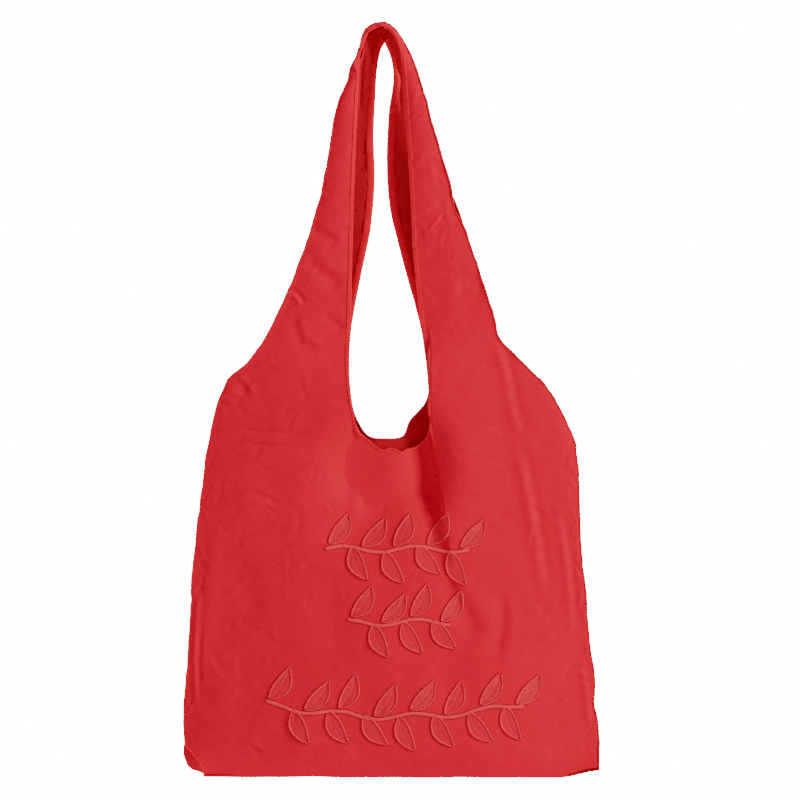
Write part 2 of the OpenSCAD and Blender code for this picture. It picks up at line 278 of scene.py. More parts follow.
def crease(x, z, points, width, height, step=0.0):
    """A ridge (or valley, where height is negative), with a lasting step on one side that fades out."""
    d, side, share = along_line(x, z, points)
    ends = smooth(share * 4) * smooth((1 - share) * 4)
    ridge = height * bell(d / width)
    fold = step * side * (d / width) * np.exp(-0.5 * (d / width) ** 2)
    return FOLD_GAIN * (ridge + fold) * ends


# Each crease: the points it runs through, its width, its height and its one-sided step
FRONT_CREASES = [
    ([(-104, 468), (-92, 463), (-84, 452)], 2.4, 0.5, -1.5),
    ([(-84, 500), (-66, 486), (-45, 470)], 7.0, -1.6, 0.8),
    ([(-79, 526), (-64, 521), (-48, 512)], 5.0, -1.2, 0.7),
    ([(-92, 446), (-90, 432), (-85, 417), (-66, 412)], 4.5, -0.6, 0.9),
    ([(-66, 444), (-54, 438), (-44, 430)], 5.0, -1.0, 0.6),
    ([(-168, 362), (-154, 368), (-142, 366)], 2.5, 0.7, 0.8),
    ([(-166, 358), (-152, 357), (-138, 352)], 2.4, -0.6, 0.7),
    ([(-150, 386), (-138, 376), (-132, 364)], 2.6, 0.7, 0.7),
    ([(-152, 335), (-118, 332), (-80, 331)], 2.6, -0.6, 0.9),
    ([(-148, 322), (-110, 319), (-72, 321)], 2.2, -0.5, 0.8),
    ([(-138, 277), (-122, 270), (-106, 264)], 3.0, -0.5, 0.6),
    ([(-134, 262), (-120, 262), (-108, 256)], 2.2, 0.4, 0.4),
    ([(-34, 344), (-32, 316), (-34, 286)], 3.2, 0.3, 1.3),
    ([(-32.5, 300), (-34, 270), (-38, 240)], 6.0, 0.9, 0.5),
    ([(-22, 325), (-13, 319.5), (-6, 313.5)], 1.6, 1.7, 0.5),
    ([(-5, 314), (-9, 310), (-14, 306)], 1.8, 1.2, -0.9),
    ([(-30, 303), (-23, 299), (-15, 298.5)], 3.6, -1.3, 0.5),
    ([(-4, 291), (-1, 289.5), (2, 289)], 2.4, -1.0, 0.4),
    ([(-30, 266), (-22, 260.5), (-12, 258.5), (-2, 261)], 3.2, -0.4, 0.8),
    ([(36, 524), (43, 532), (51, 543)], 1.6, 0.5, 0.7),
    ([(22, 521), (27, 525), (33, 524)], 2.4, -0.7, 0.6),
    ([(60, 462), (76, 474), (92, 470)], 5.0, -0.9, 0.6),
    ([(34, 429), (48, 430), (62, 428)], 2.6, -0.5, 0.5),
    ([(36, 392), (50, 399), (66, 396)], 5.0, -0.5, 0.5),
    ([(100, 424), (112, 388), (118, 352), (128, 322)], 4.0, 0.3, -1.1),
    ([(122, 326), (138, 247), (150, 168)], 4.5, 0.4, -1.4),
    ([(160, 268), (171, 199), (176, 130)], 3.5, 0.4, -1.1),
    ([(184, 112), (190, 70), (192, 44)], 3.0, 0.4, -0.9),
    ([(-36, 350), (-33, 280), (-20, 200)], 34.0, -5.4, 0.0),
    ([(38, 250), (42, 226), (50, 196)], 9.0, -1.0, 0.7),
    ([(54, 200), (62, 176), (74, 158), (88, 130)], 9.0, -1.6, 1.5),
    ([(108, 182), (108, 146), (100, 106)], 6.0, -1.2, 0.8),
    ([(-150, 210), (-140, 180), (-124, 150)], 18.0, -1.2, 0.0),
    ([(-170, 250), (-176, 190), (-178, 120)], 8.0, 1.0, 0.3),
    ([(-187, 186), (-190, 120), (-189, 60)], 2.6, 0.8, 0.8),
    ([(-182, 150), (-184, 110), (-183, 78)], 2.4, -0.7, 0.6),
    ([(-14, 722), (-5, 719), (4, 711)], 2.2, 1.2, 0.8),
    ([(-24, 712), (-12, 718), (-4, 716)], 2.4, -1.2, 0.8),
]
BACK_CREASES = [
    ([(-26, 704), (-28.5, 680), (-30, 640)], 2.0, 2.5, 0.0),
    ([(4.5, 706), (7, 676), (9.5, 632)], 2.5, 2.9, 0.0),
    ([(-100, 470), (-84, 455), (-60, 450)], 5.0, -1.3, 0.7),
    ([(50, 520), (70, 506), (86, 480)], 5.0, -1.2, 0.7),
    ([(96, 440), (112, 400), (120, 350)], 6.0, 1.3, 0.5),
    ([(-100, 440), (-116, 396), (-124, 340)], 6.0, 1.2, -0.5),
    ([(-36, 336), (-44, 290), (-60, 232)], 9.0, -2.2, 1.1),
    ([(30, 350), (40, 300), (56, 236)], 8.0, -2.2, -1.1),
    ([(-20, 318), (-8, 306), (10, 300)], 4.0, -1.0, 0.6),
    ([(134, 320), (146, 240), (152, 160)], 10.0, 2.2, 0.4),
    ([(-140, 320), (-150, 240), (-154, 150)], 10.0, 2.0, -0.4),
    ([(-60, 210), (-20, 180), (30, 186)], 15.0, -2.0, 0.6),
    ([(60, 150), (90, 110), (140, 96)], 12.0, 1.6, 0.8),
    ([(-120, 112), (-80, 90), (-30, 88)], 9.0, -0.9, 0.5),
    ([(-182, 200), (-186, 130), (-186, 70)], 3.0, 0.8, 0.6),
    ([(184, 170), (187, 110), (188, 60)], 3.0, 0.8, 0.6),
]


def crumples(count, seed):
    """Short random creases over the whole cloth, as nylon has that was folded small."""
    pick = np.random.default_rng(seed)
    made = []
    for _ in range(count):
        z = pick.uniform(20, 690)
        low, high = left_at(z) + 6, right_at(z) - 6
        x = pick.uniform(low, high)
        turn = pick.normal(0.0, 0.55) if pick.random() < 0.7 else pick.normal(1.3, 0.4)
        reach = pick.uniform(5, 17)
        bend = pick.uniform(-0.35, 0.35)
        a = (x - reach * math.cos(turn), z - reach * math.sin(turn))
        b = (x + reach * bend * math.sin(turn), z - reach * bend * math.cos(turn))
        c = (x + reach * math.cos(turn), z + reach * math.sin(turn))
        width = pick.uniform(1.6, 3.4)
        made.append(([a, b, c], width, pick.uniform(-0.28, 0.22), pick.uniform(-0.5, 0.5)))
    return made


def puckers(path, side, seed):
    """The small steep folds that a sewn side seam draws in."""
    pick = np.random.default_rng(seed)
    made = []
    for _ in range(30):
        z = pick.uniform(40, 370)
        edge = np.interp(z, path[:, 1], path[:, 0])
        reach, drop = pick.uniform(3, 10), pick.uniform(8, 26) * pick.choice([-1, 1])
        points = [(edge - side * 1.5, z), (edge - side * (2 + reach * 0.6), z + drop * 0.5),
                  (edge - side * (2 + reach), z + drop)]
        made.append((points, pick.uniform(1.1, 1.9), pick.uniform(-0.3, 0.4), pick.uniform(-0.4, 0.4)))
    return made


# Half the body's depth through its middle, at heights above the base
BODY_HEIGHTS = [0, 60, 118, 260, 395, 470]
BODY_DEPTHS = [19.5, 20.0, 19.2, 15.5, 11.8, 9.5]
BODY_ROUNDNESS = 2.2
NECK_START, NECK_RISE = 355, 60  # over this height the body gives way to the straps
STRAPS_PART = 120  # over this height above the armpits the front and back straps move apart
STRAP_CROWN = 2.6
ARCH_START, ARCH_RISE = 660, 52  # the top of the loops, where the straps turn over
ARCH_DEPTH, ARCH_FALL = 12.0, 9.5
PINCH_X, PINCH_WIDTH, PINCH_HEIGHT = 2, 58, 44  # the cloth that the closed snap holds together
CLOSED_DEPTH = 0.9 * SEAM_DEPTH
SNAP_REACH = 15
WAIST_Z = 545  # the loops are drawn in a little here
CREASE_REACH = 3.2  # how many of its own widths a crease is felt over
CRUMPLES = 230

# The fold beside the mouth: its crest runs down and to the right from the strap's foot
CREST_Z = [150, 182, 228, 262, 302, 330, 345]
CREST_X = [82, 64, 55, 50, 44, 40, 38]
FOLD_DEEP, FOLD_PROUD = 10.5, 4.8


class Cloth:
    """One face of the bag. depth() is how far its outer surface stands from the middle plane."""

    def __init__(self, side, neck, marks, creases, seed):
        self.side = side
        self.seed = seed
        self.creases = (creases + crumples(CRUMPLES, seed) + puckers(left_path, -1, seed + 6)
                        + puckers(right_path, 1, seed + 7))
        path, at = curve(neck)
        cuts = [0] + [at[m] for m in marks] + [at[-1]]
        self.neck = [path[a:b + 1] for a, b in zip(cuts, cuts[1:])]

    def inset(self, z):
        """How far the loop's left and right outer edges lie inside the bag's outline."""
        if self.side < 0:
            return 0 * z, 4.0 * bell((z - WAIST_Z) / 13)
        narrow = 3.5 * smooth((z - 430) / 50) * (1 - smooth((z - 690) / 30))
        return narrow, narrow * (1 - bell((z - WAIST_Z) / 26))

    def outer(self, path, right):
        """The outer edge of this face's strap, from the bag's outline."""
        path = path.copy()
        inset = self.inset(path[:, 1])[int(right)]
        path[:, 0] += -inset if right else inset
        return path

    def depth(self, x, z, t=0.0):
        """t runs from the neck's edge (0) to the outer edge (1), and counts only in the straps."""
        low, high = left_at(z), right_at(z)
        s = np.clip((2 * x - low - high) / np.maximum(high - low, 1), -1, 1)
        middle = np.interp(z, BODY_HEIGHTS, BODY_DEPTHS)
        body = mix(half_depth(x, z), middle, 1 - np.abs(s) ** BODY_ROUNDNESS)
        strap = mix(SEAM_DEPTH, STRAP_DEPTH, smooth((z - ARMPIT_Z) / STRAPS_PART))
        strap = strap + STRAP_CROWN * 4 * t * (1 - t)
        arch = ARCH_DEPTH - ARCH_FALL * t ** 1.2
        strap = mix(strap, arch, smooth((z - ARCH_START) / ARCH_RISE))
        neck = smooth((z - NECK_START) / NECK_RISE)
        depth = mix(body, strap, neck)
        away = ((x - PINCH_X) / PINCH_WIDTH) ** 2 + ((z - SNAP_Z) / PINCH_HEIGHT) ** 2
        depth = mix(depth, SNAP_DEPTH, np.exp(-away ** 2) * (1 - neck))
        if self.side < 0:
            depth = depth + self.mouth_fold(x, z)
        for points, width, height, step in self.creases:
            p = np.asarray(points)
            reach = CREASE_REACH * width
            inside = ((x > p[:, 0].min() - reach) & (x < p[:, 0].max() + reach)
                      & (z > p[:, 1].min() - reach) & (z < p[:, 1].max() + reach))
            if inside.any():
                depth[inside] += crease(x[inside], z[inside], points, width, height, step)
        depth = depth + self.waves(x, z, s)
        over_snap = bell(np.hypot(x, z - SNAP_Z) / SNAP_REACH) ** 0.5
        return np.maximum(depth, CLOSED_DEPTH + (SNAP_DEPTH - CLOSED_DEPTH) * over_snap)

    def place(self, x, z, t=0.0):
        """The outer surface's y. Beside the mouth both faces are pushed back together."""
        push = 8.0 * bell((x - 35) / 18) * bell((z - 306) / 58)
        return self.side * self.depth(x, z, t) + push

    def mouth_fold(self, x, z):
        """The right strap's edge stands forward of the mouth, and the cloth beside it falls back."""
        deep = FOLD_DEEP * smooth((z - 165) / 130) * (1 - smooth((z - 352) / 30))
        proud = FOLD_PROUD * smooth((z - 190) / 105) * (1 - smooth((z - 400) / 40))
        u = np.interp(z, CREST_Z, CREST_X) - x
        recess = -deep * smooth(u / 4.5) * np.exp(-(np.maximum(u, 0) / 24) ** 1.5)
        outside = np.exp(-(u / 34) ** 2)
        inside = np.exp(-(np.minimum(u, 40) / 2.2) ** 2)
        return recess * bell((z - 300) / 105) + proud * np.where(u < 0, outside, inside)

    def waves(self, x, z, s):
        """Soft unevenness, fine puckers, and gathers where an edge is sewn."""
        seed = self.seed
        calm = smooth(1.15 * (1 - np.abs(s)) * 12)
        soft = 1.5 * noise(x, z, 62, 150, seed + 1) + 0.8 * noise(x, z, 28, 46, seed + 2)
        fine = 0.30 * noise(x, z, 15, 7.5, seed + 3) + 0.13 * noise(x, z, 6.2, 4.2, seed + 4)
        gather = 0.42 * noise(x * 0 + s * 3, z, 1, 4.6, seed + 5) * bell((1 - np.abs(s)) * 9)
        return (soft * calm + fine * (0.35 + 0.65 * calm) + gather) * smooth(z / 14)


FRONT, BACK = -1, 1
cloths = {"front": Cloth(FRONT, FRONT_NECK, FRONT_MARKS, FRONT_CREASES, 40),
          "back": Cloth(BACK, BACK_NECK, BACK_MARKS, BACK_CREASES, 70)}

# ---------------------------------------------------------------- mesh making

def grid_quads(rows, columns, start=0):
    i, j = np.meshgrid(np.arange(rows - 1), np.arange(columns - 1), indexing="ij")
    a = start + i * columns + j
    return np.stack([a, a + 1, a + columns + 1, a + columns], -1).reshape(-1, 4)


def grid_normals(points):
    return unit(np.cross(np.gradient(points, axis=0), np.gradient(points, axis=1)))


def rim_loop(rows, columns):
    """Vertex numbers round the grid's border, in order."""
    top = np.arange(columns)
    right = np.arange(1, rows) * columns + columns - 1
    bottom = (rows - 1) * columns + np.arange(columns - 2, -1, -1)
    left = np.arange(rows - 2, 0, -1) * columns
    return np.concatenate([top, right, bottom, left])


def new_object(name, vertices, faces, uv, material, normals=None):
    """vertices in bag millimetres; uv in metres of cloth."""
    mesh = bpy.data.meshes.new(name)
    mesh.from_pydata(to_row(vertices).tolist(), [], faces)
    mesh.validate(clean_customdata=False)
    order = np.zeros(len(mesh.loops), np.int32)
    mesh.loops.foreach_get("vertex_index", order)
    layer = mesh.uv_layers.new(name="cloth")
    layer.data.foreach_set("uv", np.asarray(uv, np.float32)[order].ravel())
    mesh.polygons.foreach_set("use_smooth", [True] * len(mesh.polygons))
    if normals is not None:
        mesh.normals_split_custom_set_from_vertices(normals.tolist())
    mesh.materials.append(material)
    obj = bpy.data.objects.new(name, mesh)
    bpy.context.scene.collection.objects.link(obj)
    return obj


def fix_facing(obj):
    """Turns all faces outward."""
    bm = bmesh.new()
    bm.from_mesh(obj.data)
    bmesh.ops.recalc_face_normals(bm, faces=bm.faces)
    bm.to_mesh(obj.data)
    bm.free()


def shell(name, outer, outward, thickness, uv, material):
    """A closed thin sheet: outer points on a grid, their outward normals, and the same grid further in."""
    rows, columns = outer.shape[:2]
    count = rows * columns
    inner = outer - outward * thickness
    front = grid_quads(rows, columns)
    i, j = rows // 2, columns // 2
    facing = np.dot(np.cross(outer[i, j + 1] - outer[i, j], outer[i + 1, j] - outer[i, j]), outward[i, j])
    if facing < 0:
        front = front[:, ::-1]
    back = front[:, ::-1] + count
    rim = rim_loop(rows, columns)
    following = np.roll(rim, -1)
    sides = np.stack([rim, following, following + count, rim + count], -1)
    if facing > 0:
        sides = sides[:, ::-1]
    vertices = np.concatenate([outer.reshape(-1, 3), inner.reshape(-1, 3)])
    normals = np.concatenate([outward.reshape(-1, 3), -outward.reshape(-1, 3)])
    uv = np.tile(uv.reshape(-1, 2), (2, 1))
    return new_object(name, vertices, np.concatenate([front, back, sides]).tolist(), uv, material, normals)


def tube_faces(rings, sides):
    """The faces of a tube of rings, closed at both ends."""
    k = np.arange(sides)
    wall = np.stack([k, (k + 1) % sides, (k + 1) % sides + sides, k + sides], -1)
    faces = np.concatenate([wall + i * sides for i in range(rings - 1)]).tolist()
    return [*faces, k[::-1].tolist(), (k + (rings - 1) * sides).tolist()]


def sweep(name, centre, across, up, profile, material):
    """Carries a closed profile of (across, up) pairs along a line of points, and closes both ends."""
    p = np.asarray(profile, float)
    rings = centre[:, None] + across[:, None] * p[None, :, :1] + up[:, None] * p[None, :, 1:]
    faces = tube_faces(len(centre), len(p))
    uv = np.stack(np.meshgrid(distance_along(centre) * MM, distance_along(p) * MM, indexing="ij"), -1)
    obj = new_object(name, rings.reshape(-1, 3), faces, uv.reshape(-1, 2), material)
    fix_facing(obj)
    return obj


# ---------------------------------------------------------------- materials

class Nodes:
    """Adds and joins the shader nodes of a material or a world."""

    def __init__(self, owner, shader="Principled BSDF"):
        owner.use_nodes = True
        self.owner = owner
        self.tree = owner.node_tree
        self.shader = self.tree.nodes[shader]

    def fill(self, node, inputs):
        """Sets a node's inputs, or joins them to another node's output."""
        for key, value in inputs.items():
            if isinstance(value, bpy.types.NodeSocket):
                self.tree.links.new(value, node.inputs[key])
            else:
                node.inputs[key].default_value = value

    def add(self, kind, inputs, output=0, **settings):
        """Makes a node and gives back its output."""
        node = self.tree.nodes.new("ShaderNode" + kind)
        for key, value in settings.items():
            setattr(node, key, value)
        self.fill(node, inputs)
        return node.outputs[output]


def cloth_material(name, colour, dark, rough, weave, crinkle):
    """Nylon: a plain weave, slubs along the weft, fine crinkles, and a soft uneven dye."""
    n = Nodes(bpy.data.materials.new(name))
    uv = n.add("UVMap", {}, uv_map="cloth")
    flat = n.add("Mapping", {"Vector": uv, "Scale": (0.35, 1.0, 1.0)})
    mottle = n.add("TexNoise", {"Vector": uv, "Scale": 14.0, "Detail": 4.0, "Roughness": 0.6}, "Fac")
    slub = n.add("TexNoise", {"Vector": flat, "Scale": 620.0, "Detail": 2.0, "Roughness": 0.6}, "Fac")
    crush = n.add("TexNoise", {"Vector": flat, "Scale": 190.0, "Detail": 3.0, "Roughness": 0.55,
                               "Distortion": 0.6}, "Fac")
    warp, weft = (n.add("TexWave", {"Vector": uv, "Scale": 330.0, "Distortion": 0.4}, "Fac",
                        wave_type="BANDS", bands_direction=direction) for direction in "XY")
    threads = n.add("Math", {0: warp, 1: weft}, operation="MULTIPLY")
    stain = n.add("Math", {0: mottle, 1: 0.55}, operation="MULTIPLY")
    stain = n.add("Math", {0: slub, 1: 0.45, 2: stain}, operation="MULTIPLY_ADD")
    stain = n.add("MapRange", {"Value": stain, "From Min": 0.32, "From Max": 0.68})
    dye = n.add("Mix", {"Factor": stain, "A": (*dark, 1), "B": (*colour, 1)}, "Result", data_type="RGBA")
    bump = n.add("Bump", {"Height": threads, "Strength": weave, "Distance": 0.00012})
    bump = n.add("Bump", {"Height": slub, "Strength": crinkle, "Distance": 0.0003, "Normal": bump})
    bump = n.add("Bump", {"Height": crush, "Strength": crinkle, "Distance": 0.0011, "Normal": bump})
    worn = n.add("MapRange", {"Value": mottle, "To Min": rough - 0.06, "To Max": rough + 0.06})
    n.fill(n.shader, {"Base Color": dye, "Normal": bump, "Roughness": worn, "Specular IOR Level": 0.03})
    return n.owner


def thread_material(name, colour, strands):
    """Stitching thread: fine parallel strands along the stitches."""
    n = Nodes(bpy.data.materials.new(name))
    uv = n.add("UVMap", {}, uv_map="cloth")
    twist = n.add("TexWave", {"Vector": uv, "Scale": strands, "Distortion": 1.2, "Detail": 1.0}, "Fac",
                  wave_type="BANDS", bands_direction="X")
    fleck = n.add("TexNoise", {"Vector": uv, "Scale": 900.0, "Detail": 2.0}, "Fac")
    bump = n.add("Bump", {"Height": twist, "Strength": 0.7, "Distance": 0.00025})
    value = n.add("MapRange", {"Value": fleck, "To Min": 0.72, "To Max": 1.25})
    tone = n.add("HueSaturation", {"Color": (*colour, 1), "Value": value})
    n.fill(n.shader, {"Base Color": tone, "Normal": bump, "Roughness": 0.42, "Specular IOR Level": 0.12,
                      "Sheen Weight": 0.02})
    return n.owner


def metal_material(name, colour):
    """Satin metal with fine turning marks."""
    n = Nodes(bpy.data.materials.new(name))
    place = n.add("TexCoord", {}, "Object")
    grain = n.add("TexNoise", {"Vector": place, "Scale": 900.0, "Detail": 3.0}, "Fac")
    rough = n.add("MapRange", {"Value": grain, "To Min": 0.22, "To Max": 0.4})
    bump = n.add("Bump", {"Height": grain, "Strength": 0.15, "Distance": 0.0001})
    n.fill(n.shader, {"Base Color": (*colour, 1), "Metallic": 1.0, "Roughness": rough, "Normal": bump})
    return n.owner


nylon = cloth_material("red_nylon", colour=(0.80, 0.0004, 0.031), dark=(0.70, 0.0002, 0.025),
                       rough=0.55, weave=0.35, crinkle=0.42)
lining = cloth_material("red_lining", colour=(0.59, 0.010, 0.026), dark=(0.50, 0.008, 0.020),
                        rough=0.6, weave=0.3, crinkle=0.4)
# Lighter than the nylon, so that hems and seams read as bright lines: painted highlight.
painted_highlight_tape = cloth_material("edge_tape", colour=(0.86, 0.004, 0.032), dark=(0.76, 0.002, 0.026),
                      rough=0.5, weave=0.4, crinkle=0.35)
thread = thread_material("red_thread", colour=(1.0, 0.03, 0.066), strands=420.0)
fill_thread = thread_material("fill_thread", colour=(0.84, 0.004, 0.034), strands=420.0)
# A dark thread colour for the outer strip of each leaf and stem and the sides of each patch: painted shadow
# round the stitches, where the cloth puckers.
painted_shadow_line = thread_material("painted_shadow_line", colour=(0.34, 0.0006, 0.012), strands=300.0)
nickel = metal_material("satin_nickel", colour=(0.72, 0.69, 0.66))

# ---------------------------------------------------------------- attaching pieces and hiding the CAD parts

def carry(piece, body, slot, *nodes, bends=False):
    """Gives a piece its body and hides the CAD nodes it stands for. The slot argument is not used.

    A piece that bends is not attached to any body: its transform is only baked into its mesh.
    """
    if bends:
        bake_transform(piece)
    else:
        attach(piece, body)
    if nodes:
        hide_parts(*nodes)


def declare_sheet(grid, flat=None):
    """Works out how large the piece was cut, its spread across and down with the ease its creases take up,
    and does nothing more with it.
    """
    if flat is None:
        flat = sorted((grid.max(axis=(0, 1)) - grid.min(axis=(0, 1))) * EASE * MM)[1:]


# ---------------------------------------------------------------- upper cloth

# Rows along each stretch of the neck, and columns from the neck to the outline
STRAP_STEPS, SIDE_STEPS, RIM_STEPS = 200, 92, 220
STRETCHES = (STRAP_STEPS, SIDE_STEPS, RIM_STEPS, SIDE_STEPS, STRAP_STEPS)
ACROSS = 74
CROWDED = 0.25  # how much closer the columns lie near both edges
ROW_HEIGHT = 1.7
MATCH_REACH, MATCH_EASE = 14, 10  # the two cloths' normals agree this near their shared edge


def upper_grid(cloth):
    """Rows run round the neck hole from the top, down the left strap and up the right one."""
    mid_left, top_left = cut_at(cut_at(left_path, SPLIT_Z)[1], ARMPIT_Z)
    mid_right, top_right = cut_at(cut_at(right_path, SPLIT_Z)[1], ARMPIT_Z)
    bottom = np.array([mid_left[0], mid_right[0]])
    outer = [cloth.outer(top_left, False)[::-1], mid_left[::-1], bottom, mid_right,
             cloth.outer(top_right, True)]
    inner, outside = (np.vstack([*(spread(p, c)[:-1] for p, c in zip(edge, STRETCHES)), edge[-1][-1:]])
                      for edge in (cloth.neck, outer))
    t = np.linspace(0, 1, ACROSS + 1)
    t = mix(t, smooth(t), CROWDED)
    x, z = (mix(inner[:, None, i], outside[:, None, i], t[None]) for i in (0, 1))
    return np.stack([x, cloth.place(x, z, t), z], -1)


def lower_grid(cloth):
    """Rows run down from the split to the base, and columns match the upper cloth's."""
    across = np.linspace(0, 1, RIM_STEPS + 1)
    down = np.linspace(0, 1, int(SPLIT_Z / ROW_HEIGHT) + 1)[:, None]
    end_x = mix(left_at(0.0), right_at(0.0), across)
    z = mix(SPLIT_Z, base_at(end_x)[None], down)
    x = mix(left_at(z), right_at(z), across[None])
    return np.stack([x, cloth.place(x, z), z], -1)


def field_normals(cloth, x, z):
    """Normals straight from the depth field, which agree on both sides of the split."""
    step = 0.6
    dx = (cloth.place(x + step, z) - cloth.place(x - step, z)) / (2 * step)
    dz = (cloth.place(x, z + step) - cloth.place(x, z - step)) / (2 * step)
    return unit(np.stack([-dx, np.ones(x.shape), -dz], -1) * cloth.side)


def outward(cloth, points):
    n = grid_normals(points)
    flip = np.sign(n[..., 1:2] * cloth.side)
    n = n * np.where(flip == 0, 1, flip)
    x, z = points[..., 0], points[..., 2]
    near = np.abs(z - SPLIT_Z) < MATCH_REACH
    share = smooth((MATCH_REACH - np.abs(z[near] - SPLIT_Z)) / MATCH_EASE)[:, None]
    n[near] = unit(mix(n[near], field_normals(cloth, x[near], z[near]), share))
    return n


def soften(grid):
    """The grid with its sharp creases eased, and its border kept."""
    grid = grid.copy()
    for _ in range(4):
        around = grid[:-2, 1:-1] + grid[2:, 1:-1] + grid[1:-1, :-2] + grid[1:-1, 2:]
        grid[1:-1, 1:-1] = mix(grid[1:-1, 1:-1], around / 4, 0.7)
    return grid


def every_other(count):
    """Every other row or column number, and always the last."""
    return np.unique(np.r_[np.arange(0, count, 2), count - 1])


def cloth_piece(name, points, normals, thickness, material):
    return shell(name, points, normals, thickness, points[..., [0, 2]] * MM, material)


def cut_nodes(name, kind, part):
    """The CAD nodes that one cloth stands for: the upper ones are cut in one with their straps."""
    nodes = [f"{name}_{kind}_{part}"]
    if part == "upper":
        strap = "strap" if kind == "panel" else "strap_lining"
        nodes += [f"{name}_{strap}_left", f"{name}_{strap}_right"]
    return nodes


uppers = {}
for name, cloth in cloths.items():
    upper, lower = upper_grid(cloth), lower_grid(cloth)
    parts = {"upper": (upper, outward(cloth, upper)), "lower": (lower, outward(cloth, lower))}
    uppers[name] = parts["upper"]
    bodies = {"upper": name + "_handle", "lower": "lower_body"}
    for part, (grid, normals) in parts.items():
        piece = cloth_piece(f"{name}_cloth_{part}", grid, normals, CLOTH, nylon)
        carry(piece, bodies[part], "nylon", *cut_nodes(name, "panel", part), bends=True)
        if part == "lower":
            declare_sheet(grid)
    for part, (grid, normals) in parts.items():
        pick = np.ix_(every_other(grid.shape[0]), every_other(grid.shape[1]))
        coarse_n = soften(normals)[pick]
        coarse = soften(grid)[pick] - coarse_n * LINING_INSET
        piece = cloth_piece(f"{name}_lining_cloth_{part}", coarse, coarse_n, LINING, lining)
        carry(piece, bodies[part], "lining", *cut_nodes(name, "lining", part), bends=True)
        declare_sheet(coarse)

# ---------------------------------------------------------------- edge bindings and seams

# Round the hem from its inner side: how far across it (0 to 1), and the height in millimetres
HEM_PROFILE = [(1.00, 0.05), (0.97, 0.50), (0.86, 0.62), (0.72, 0.34), (0.55, 0.42), (0.30, 0.62),
               (0.10, 0.66), (-0.06, 0.30), (-0.16, -0.9), (-0.06, -2.5), (0.10, -3.0), (0.50, -3.15),
               (0.85, -3.0), (1.00, -2.7)]
GROOVE = 0.72  # where the stitches run, across the hem
HEM_STRAP = {"front": 3.5, "back": 6.5}
HEM_MOUTH = 1.7
HEM_OUTER = 1.5
HEM_CHANGE = 60  # rows over which the strap's hem narrows to the mouth's
HEM_OVERLAP = 15  # rows by which the outer hems run down over the side seams


def edge_tape(name, grid, normals, column, rows, width):
    """The hem over one edge of the upper cloth; its stitch groove runs beside the inner side."""
    inward = 1 if column == 0 else -1
    edge, n = grid[rows, column], normals[rows, column]
    into = grid[rows, column + 2 * inward] - edge
    along = unit(np.gradient(edge, axis=0))
    into -= along * np.sum(into * along, axis=1, keepdims=True)
    into -= n * np.sum(into * n, axis=1, keepdims=True)
    return sweep(name, edge, unit(into) * width[:, None], n, HEM_PROFILE, painted_highlight_tape)


# A stitch: the places of its rings along it and their radii, and how many sides it has
STITCH_ALONG = [-1.15, -0.8, 0.0, 0.8, 1.15]
STITCH_RADIUS = [0.06, 0.26, 0.34, 0.26, 0.06]
STITCH_SIDES = 6
STITCH_PITCH = 3.2
STITCH_LIFT = 0.42


def stitch_shape():
    """One stitch's points along, beside and above its middle, and its faces."""
    turns = np.arange(STITCH_SIDES) * math.pi / 3
    points = np.stack([np.repeat(STITCH_ALONG, STITCH_SIDES), np.outer(STITCH_RADIUS, np.cos(turns)).ravel(),
                       np.outer(STITCH_RADIUS, np.sin(turns)).ravel()], 1)
    return points, tube_faces(len(STITCH_ALONG), STITCH_SIDES)


def stitch_row(name, edge, beside, n, offset):
    """Short lockstitches along a hem's groove, offset from the edge towards the points beside it."""
    line = edge + unit(beside - edge) * offset[:, None] + n * STITCH_LIFT
    along = distance_along(line)
    count = int(along[-1] / STITCH_PITCH)
    at = (np.arange(count) + 0.5) * STITCH_PITCH
    middle, ahead, up = (np.stack([np.interp(place, along, field[:, i]) for i in range(3)], 1)
                         for place, field in ((at, line), (at + 0.5, line), (at, n)))
    run = unit(ahead - middle)
    side = np.cross(run, up)
    shape, one = stitch_shape()
    vertices = (middle[:, None] + run[:, None] * shape[None, :, :1] + side[:, None] * shape[None, :, 1:2]
                + up[:, None] * shape[None, :, 2:]).reshape(-1, 3)
    faces = [[i * len(shape) + v for v in face] for i in range(count) for face in one]
    obj = new_object(name, vertices, faces, np.tile(shape[:, :2] * MM, (count, 1)), thread)
    fix_facing(obj)
    return obj


left_foot, _, _, right_foot, _ = np.cumsum(STRETCHES)
for name, (upper, normals) in uppers.items():
    rows = np.arange(len(upper))
    mouth = smooth((rows - left_foot + 10) / HEM_CHANGE) * smooth((right_foot + 10 - rows) / HEM_CHANGE)
    width = mix(HEM_STRAP[name], HEM_MOUTH, mouth)
    neck = edge_tape(name + "_neck_binding", upper, normals, 0, rows, width)
    carry(neck, name + "_handle", "edge_binding", name + "_mouth_binding", name + "_handle_inner_binding",
          bends=True)
    stitches = stitch_row(name + "_hem_stitching", upper[:, 0], upper[:, 2], normals[:, 0], GROOVE * width)
    carry(stitches, name + "_handle", "thread", bends=True)
    for side, rows in (("left", rows[:left_foot + HEM_OVERLAP]), ("right", rows[right_foot - HEM_OVERLAP:])):
        rim = edge_tape(f"{name}_{side}_outer_binding", upper, normals, ACROSS, rows,
                        np.full(len(rows), HEM_OUTER))
        nodes = [name + "_handle_outer_binding"] if side == "left" else []
        carry(rim, name + "_handle", "edge_binding", *nodes, bends=True)
    declare_sheet(upper)

SEAM_PROFILE = ring(12, 0.9, 3.4)
SEAM_ROWS = {"upper": 70, "lower": 100}


def side_seam(name, path, outside):
    centre = np.stack([path[:, 0], 0 * path[:, 0], path[:, 1]], -1)
    along = unit(np.gradient(centre, axis=0))
    depth = np.tile([0.0, 1.0, 0.0], (len(centre), 1))
    out = np.cross(along, depth)
    out *= np.sign(out[:, :1]) * outside
    return sweep(name, centre, out, depth, SEAM_PROFILE, painted_highlight_tape)


